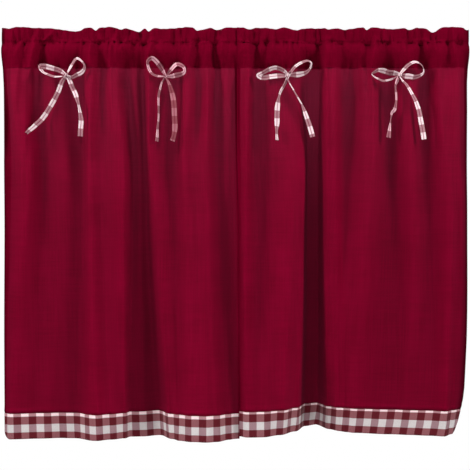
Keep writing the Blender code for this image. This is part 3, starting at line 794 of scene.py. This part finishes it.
def heading(panel, material):
    """The header ruffle and the rod pocket: the cloth goes up in front and down behind."""
    u = fold_columns(panel, HEADING_PITCH)
    front, back = heading_layer(panel, u, 1), heading_layer(panel, u, -1)
    points = np.array(front[::-1] + back[1:])
    along = along_cloth(points[0, :, 0], points[0, :, 1])
    middle = points[:, len(u) // 2]
    rise = np.concatenate([[0], np.cumsum(np.linalg.norm(np.diff(middle, axis=0), axis=1))])
    flat = np.stack(np.broadcast_arrays(along[None, :], STITCH_LINE + rise[:, None]), axis=-1)
    sheet = grid_mesh(f"rod_pocket_{panel.side}", points[::-1], flat[::-1], material)
    return stand_for(sheet, f"heading_{panel.side}")


def panel_of(bow):
    """The curtain that a bow is sewn to."""
    return LEFT if bow.x < 0 else RIGHT


def front_at(panel, x, z):
    """How far the curtain's front stands forward at x and height z."""
    if z <= STITCH_LINE:
        return forward_at(panel, x, z) + BODY_CLEAR
    heights, *columns = np.array(HEADING_LEVELS[::-1]).T
    half, sway, pucker = (float(np.interp(z, heights, column)) for column in columns)
    return half + pucker * float(pucker_at(x)) + sway * forward_at(panel, x, STITCH_LINE)


def reach_at(bow, x, z):
    """How far the curtain stands forward behind a ribbon at x and z."""
    shares = [k / REACH_STEPS for k in range(-REACH_STEPS, REACH_STEPS + 1)]
    places = [(x + a * RIBBON_SPAN, z + b * RIBBON_WIDE / 2) for a in shares for b in shares[::2]]
    fronts = [front_at(panel_of(bow), *place) for place in places]
    across, up = np.array(places).T
    near = np.abs(across - x) < RIBBON_WIDE
    proud = creases(across, up) + np.where(up > STITCH_LINE, seam_gathers(across, up), 0)
    return max(np.max(fronts), np.max((fronts + proud)[near]))


def ribbon_route(turns):
    """A ribbon's points, with their turns in radians, at each step along it."""
    rows = [Vector((x, z, math.radians(turn * TURN_SHARE))) for x, z, turn in turns]
    samples = [catmull_rom(rows, k, step / RIBBON_STEPS)
               for k in range(len(rows) - 1) for step in range(RIBBON_STEPS)]
    return samples + [rows[-1]]


def in_rows(columns, points, flat):
    """Points and their places on the flat cloth, in rows of this many columns."""
    return np.reshape(points, (-1, columns, 3)), np.reshape(flat, (-1, columns, 2))


def ribbon_strip(bow, turns, knot_y, start):
    """Rows of points of one loop or tail, their places on the flat ribbon, and its length so
    far. knot_y is where the knot's middle is, and start the ribbon's length before this strip."""
    route = ribbon_route(turns)
    steps = len(route) - 1
    felt = range(0, steps + 1, FEEL_EVERY)
    reach = np.interp(range(steps + 1), felt,
                      [reach_at(bow, bow.x + route[k][0], bow.z + route[k][1]) for k in felt])
    points, flat, length = [], [], start
    for k, (x, z, turn) in enumerate(route):
        before, after = route[max(k - 1, 0)], route[min(k + 1, steps)]
        way = Vector((after[0] - before[0], 0, after[1] - before[1])).normalized()
        across = Vector((0, math.cos(turn), 0)) + way.cross(Vector((0, 1, 0))) * math.sin(turn)
        out = across.cross(way)
        share = soft(min(math.hypot(x, z) / PINCH_LENGTH, 1))
        width = lerp(PINCH, 1, share) * RIBBON_WIDE
        stand = lerp(KNOT_GAP, RIBBON_CLEAR, share) + abs(math.cos(turn)) * width / 2
        y = -reach[k] - stand
        middle = Vector((bow.x + x, min(y, lerp(knot_y, y, share)), bow.z + z))
        if k:
            length += math.hypot(x - route[k - 1][0], z - route[k - 1][1])
        for place in np.linspace(-0.5, 0.5, RIBBON_COLUMNS + 1):
            crown = RIBBON_CROWN * (1 - (2 * place) ** 2)
            points.append(middle + across * place * width + out * crown)
            flat.append((length, place * RIBBON_WIDE))
    return *in_rows(RIBBON_COLUMNS + 1, points, flat), length


def knot_centre(bow):
    """The middle of a knot, which lies on the curtain's front."""
    near = (-KNOT_REACH, 0, KNOT_REACH)
    reach = max(front_at(panel_of(bow), bow.x + dx, bow.z + dz) for dx in near for dz in near)
    return Vector((bow.x, -reach - KNOT_STAND, bow.z))


def join(parts, name):
    """One object out of several."""
    bpy.ops.object.select_all(action="DESELECT")
    for part in parts:
        part.select_set(True)
    bpy.context.view_layer.objects.active = parts[0]
    bpy.ops.object.join()
    parts[0].name = name
    parts[0].data.name = name
    return parts[0]


def ribbon_bow(bow):
    """A bow's ribbon, which is two loops and two free tails, and the ribbon's length."""
    knot_y = knot_centre(bow).y
    strips, length = [], 0
    # each strip gets its lit or painted-shade copy of the checks
    for part, tints in zip(STRIPS, RIBBON_LIGHT_AND_SHADE[bow.name]):
        name = f"{bow.name}_{part}"
        points, flat, length = ribbon_strip(bow, getattr(bow, part), knot_y, length)
        strips.append(grid_mesh(name, points, flat, ribbon_gingham(f"{name}_gingham", tints)))
    ribbon = join(strips, f"{bow.name}_ribbon")
    thickness = ribbon.modifiers.new("Thickness", "SOLIDIFY")
    thickness.thickness = RIBBON_THICK * MM
    thickness.offset = 0
    return stand_for(ribbon, bow.name), length


def knot(bow, material):
    """The knot: a short turn of ribbon wrapped over the loops, fuller in its middle."""
    centre = knot_centre(bow)
    points, flat = [], []
    for ring in range(KNOT_RINGS):
        along = ring / (KNOT_RINGS - 1) * 2 - 1
        full = (1 - abs(along) ** KNOT_FULLNESS) ** 0.5
        for step in range(KNOT_AROUND + 1):
            angle = 2 * math.pi * step / KNOT_AROUND
            wave = math.cos(KNOT_CREASES * angle + KNOT_TWIST * along)
            radius = full * (1 - KNOT_CREASE * wave * (1 - along**2))
            way = Vector((along, radius * math.cos(angle), radius * math.sin(angle)))
            points.append(centre + KNOT_HALF * way)
            flat.append((angle * KNOT_HALF.z, along * RIBBON_WIDE / 2))
    points, flat = in_rows(KNOT_AROUND + 1, points, flat)
    return stand_for(grid_mesh(f"{bow.name}_knot", points, flat, material), bow.name)


class Graph:
    """A material and short ways to add its nodes."""

    def __init__(self, name):
        self.material = bpy.data.materials.new(name)
        self.material.use_nodes = True
        self.tree = self.material.node_tree
        self.tree.nodes.clear()

    def node(self, kind, settings=None, **inputs):
        """A new node. An input is a socket or a plain value, under its name with _ for a space
        or under i and its number."""
        made = self.tree.nodes.new(kind)
        for key, value in (settings or {}).items():
            setattr(made, key, value)
        for key, value in inputs.items():
            numbered = key[0] == "i" and key[1:].isdigit()
            socket = made.inputs[int(key[1:]) if numbered else key.replace("_", " ")]
            if isinstance(value, bpy.types.NodeSocket):
                self.tree.links.new(value, socket)
            else:
                socket.default_value = value
        return made

    def math(self, operation, a, b=0.0):
        return self.node("ShaderNodeMath", {"operation": operation}, i0=a, i1=b).outputs[0]

    def scaled(self, value, by, plus, clamp=False):
        """value times by, plus plus."""
        settings = {"operation": "MULTIPLY_ADD", "use_clamp": clamp}
        return self.node("ShaderNodeMath", settings, i0=value, i1=by, i2=plus).outputs[0]

    def mix(self, factor, a, b, blend="MIX"):
        """A colour between a and b, or another blend of the two."""
        settings = {"data_type": "RGBA", "blend_type": blend}
        return self.node("ShaderNodeMix", settings, i0=factor, i6=a, i7=b).outputs[2]

    def noise(self, vector, scale, detail=2.0):
        made = self.node("ShaderNodeTexNoise", {"noise_dimensions": "2D"}, Vector=vector,
                         Scale=scale, Detail=detail, Roughness=0.5)
        return made.outputs[0]

    def cloth_place(self):
        """Sockets for the place on the cut cloth, in metres: along, up, and both."""
        place = self.node("ShaderNodeUVMap", {"uv_map": "cloth"}).outputs[0]
        split = self.node("ShaderNodeSeparateXYZ", i0=place)
        return split.outputs[0], split.outputs[1], place

    def streaks(self, along, up, counts, detail):
        """Noise with this many spots in a metre of cloth, along it and up it."""
        x = self.math("MULTIPLY", along, counts[0])
        y = self.math("MULTIPLY", up, counts[1])
        return self.noise(self.node("ShaderNodeCombineXYZ", i0=x, i1=y).outputs[0], 1.0, detail)

    def threads(self, along, up, pitch):
        """A plain weave's relief, from 0 to 1."""
        warp = self.math("SINE", self.math("MULTIPLY", along, math.pi / pitch))
        weft = self.math("SINE", self.math("MULTIPLY", up, math.pi / pitch))
        return self.scaled(self.math("MULTIPLY", warp, weft), 0.5, 0.5)

    def bump(self, height, distance, strength):
        """The normal of a surface with this fine relief."""
        made = self.node("ShaderNodeBump", Height=height, Distance=distance, Strength=strength)
        return made.outputs[0]

    def finish(self, shader):
        self.node("ShaderNodeOutputMaterial", Surface=shader)
        return self.material


def voile(name, dyes, passed):
    """Semi-sheer dyed cloth in a plain weave, with slubs, a soft sheen and painted light and shade on
    its folds.
    passed is the share of light that comes through from behind."""
    g = Graph(name)
    along, up, place = g.cloth_place()
    slub_warp = g.streaks(along, up, SLUBS_WARP, 3.0)
    slub_weft = g.streaks(along, up, SLUBS_WEFT, 3.0)
    mottle = g.noise(place, MOTTLE, 3.0)
    uneven = g.math("ADD", g.math("MULTIPLY", slub_warp, 0.42), g.math("MULTIPLY", slub_weft, 0.33))
    uneven = g.math("ADD", uneven, g.math("MULTIPLY", mottle, 0.25))
    uneven = g.scaled(uneven, UNEVENNESS, 0.5 - UNEVENNESS / 2, clamp=True)
    # Painted light and shade: the colour is lighter on the folds' crests and darker in their hollows
    # and along the outer edges
    crest = g.node("ShaderNodeAttribute", {"attribute_name": "crest"}).outputs[2]
    painted_light_and_shade = g.scaled(crest, PAINTED_SHADE_SHARE, 1.0)
    dyed = g.mix(uneven, dyes.shade, dyes.light)
    colour = g.node("ShaderNodeVectorMath", {"operation": "SCALE"}, i0=dyed, i3=painted_light_and_shade).outputs[0]
    height = g.math("ADD", g.threads(along, up, VOILE_THREAD * MM), g.math("MULTIPLY", slub_warp, 1.6))
    bump = g.bump(height, 0.25 * MM, 0.25)
    surface = g.node(
        "ShaderNodeBsdfPrincipled", Base_Color=colour, Roughness=g.scaled(uneven, 0.2, 0.66),
        Normal=bump, Sheen_Weight=0.06, Sheen_Roughness=0.45, Sheen_Tint=(0.8, 0.05, 0.2, 1),
        Specular_IOR_Level=0.02, Specular_Tint=(0.8, 0.1, 0.25, 1),
    ).outputs[0]
    glow = g.node("ShaderNodeBsdfTranslucent", Color=dyes.through, Normal=bump).outputs[0]
    return g.finish(g.node("ShaderNodeMixShader", i0=passed, i1=surface, i2=glow).outputs[0])


def yarns(g, place):
    """Uneven colour between the yarns of a half-coloured square, from 0 to 0.36."""
    wave = g.math("SINE", g.math("MULTIPLY", place, math.pi / (YARN * MM)))
    return g.math("MULTIPLY", g.math("ADD", wave, 1.0), 0.18)


def checked(g, tints, along, up, weft, warp):
    """The colour of yarn-dyed checks: white, half and full squares in a plain weave. warp and
    weft are 1 where the coloured yarns run."""
    coloured_warp = g.mix(yarns(g, along), tints.warp, tints.full)
    coloured_weft = g.mix(yarns(g, up), tints.weft, tints.full)
    return g.mix(weft, g.mix(warp, tints.white, coloured_warp), g.mix(warp, coloured_weft, tints.full))


def square_wave(g, place, pitch, start):
    """0 over one pitch from start, where the white yarns run, and 1 over the next, by turns."""
    turns = g.math("DIVIDE", g.math("SUBTRACT", place, start + pitch / 2), 2 * pitch)
    wave = g.math("ABSOLUTE", g.math("SUBTRACT", g.math("FRACT", turns), 0.5))
    return g.scaled(wave, -CHECK_SHARPNESS, CHECK_SHARPNESS / 4 + 0.5, clamp=True)


def woven(g, colour, along, up):
    """The checked cloth's surface: worn fibres in a plain weave."""
    fibre = g.streaks(along, up, FIBRES, 2.0)
    wear_and_painted_shade = g.mix(1.0, colour, g.scaled(fibre, 0.30, 0.85), "MULTIPLY")
    surface = g.node(
        "ShaderNodeBsdfPrincipled", Base_Color=wear_and_painted_shade, Roughness=g.scaled(fibre, 0.2, 0.72),
        Normal=g.bump(g.threads(along, up, GINGHAM_THREAD * MM), 0.3 * MM, 0.35),
        Sheen_Weight=0.05, Sheen_Roughness=0.5, Specular_IOR_Level=0.12,
    )
    return g.finish(surface.outputs[0])


def hem_gingham(panel):
    """The hem band's checks, which start where the photographed ones do."""
    g = Graph(f"hem_gingham_{panel.side}")
    along, up, _ = g.cloth_place()
    warp = square_wave(g, along, panel.check * MM, panel.check_start * MM)
    weft = square_wave(g, up, BAND_ROW * MM, (panel.band_foot + panel.check_foot) * MM)
    # The top strip gets the lighter copies of the checks, a painted highlight
    strip = g.scaled(up, 1 / MM, 0.5 - (panel.band_top - STRIP), clamp=True)
    colour = g.mix(strip, checked(g, BAND_TINTS, along, up, weft, warp),
                   checked(g, STRIP_HIGHLIGHT_TINTS, along, up, weft, warp))
    return woven(g, colour, along, up)


def ribbon_gingham(name, tints):
    """A ribbon's checks: bars across it, and one thin coloured stripe down its middle."""
    g = Graph(name)
    along, up, _ = g.cloth_place()
    warp = square_wave(g, along, RIBBON_CHECK * MM, 0)
    from_middle = g.math("ABSOLUTE", up)
    weft = g.scaled(from_middle, -1 / (STRIPE_EDGE * MM), STRIPE_HALF / STRIPE_EDGE + 0.5, clamp=True)
    return woven(g, checked(g, tints, along, up, weft, warp), along, up)


def dress():
    """All the pieces, each with the cloth that it was cut from."""
    body_voile = voile("burgundy_voile", BODY_DYES, BODY_PASSED)
    heading_voile = voile("burgundy_voile_doubled", HEADING_DYES, HEADING_PASSED)
    for panel in (LEFT, RIGHT):
        pocket = heading(panel, heading_voile)
        band = hem_band(panel, hem_gingham(panel))
        body = body_sheet(panel, body_voile)
    for bow in BOWS:
        ribbon, length = ribbon_bow(bow)
        # the knot gets its left loop's lit or painted-shade copy of the checks
        tied = knot(bow, ribbon_gingham(f"{bow.name}_knot_gingham", RIBBON_LIGHT_AND_SHADE[bow.name][0]))


def make_camera():
    data = bpy.data.cameras.new("camera")
    data.sensor_width = SENSOR
    data.lens = SENSOR * CAMERA_DISTANCE / FRAME_WIDTH
    camera = add("camera", data)
    camera.location = (CAMERA_X, -CAMERA_DISTANCE, CAMERA_HEIGHT)
    camera.rotation_euler = (math.pi / 2, 0, 0)
    bpy.context.scene.camera = camera


def make_light(light):
    data = bpy.data.lights.new(light.name, "AREA")
    data.shape = "RECTANGLE"
    data.size, data.size_y = light.size
    data.energy = light.power
    lamp = add(light.name, data)
    lamp.location = light.place
    way = Vector(light.target) - Vector(light.place)
    lamp.rotation_euler = way.to_track_quat("-Z", "Y").to_euler()
    lamp.visible_camera = False


def make_floor():
    bpy.ops.mesh.primitive_plane_add(size=FLOOR_SIZE, location=FLOOR_PLACE)
    floor = bpy.context.object
    floor.name = "floor"
    g = Graph("floor")
    grain = g.noise(g.node("ShaderNodeTexCoord").outputs[3], 6.0)
    colour = g.mix(grain, (0.9, 0.9, 0.9, 1), (0.94, 0.94, 0.94, 1))
    matt = g.node("ShaderNodeBsdfPrincipled", Base_Color=colour, Roughness=0.9)
    floor.data.materials.append(g.finish(matt.outputs[0]))


def make_room():
    """A white room that gives less light than the camera sees."""
    world = bpy.data.worlds.new("room")
    world.use_nodes = True
    bpy.context.scene.world = world
    nodes, links = world.node_tree.nodes, world.node_tree.links
    nodes.clear()
    mix = nodes.new("ShaderNodeMixShader")
    links.new(nodes.new("ShaderNodeLightPath").outputs["Is Camera Ray"], mix.inputs[0])
    for socket, strength in ((mix.inputs[1], ROOM_LIGHT), (mix.inputs[2], ROOM_SEEN)):
        background = nodes.new("ShaderNodeBackground")
        background.inputs[0].default_value = (1, 1, 1, 1)
        background.inputs[1].default_value = strength
        links.new(background.outputs[0], socket)
    links.new(mix.outputs[0], nodes.new("ShaderNodeOutputWorld").inputs[0])


make_camera()
make_floor()
make_room()
for light in LIGHTS:
    make_light(light)
dress()
bpy.context.scene.view_settings.view_transform = "Standard"
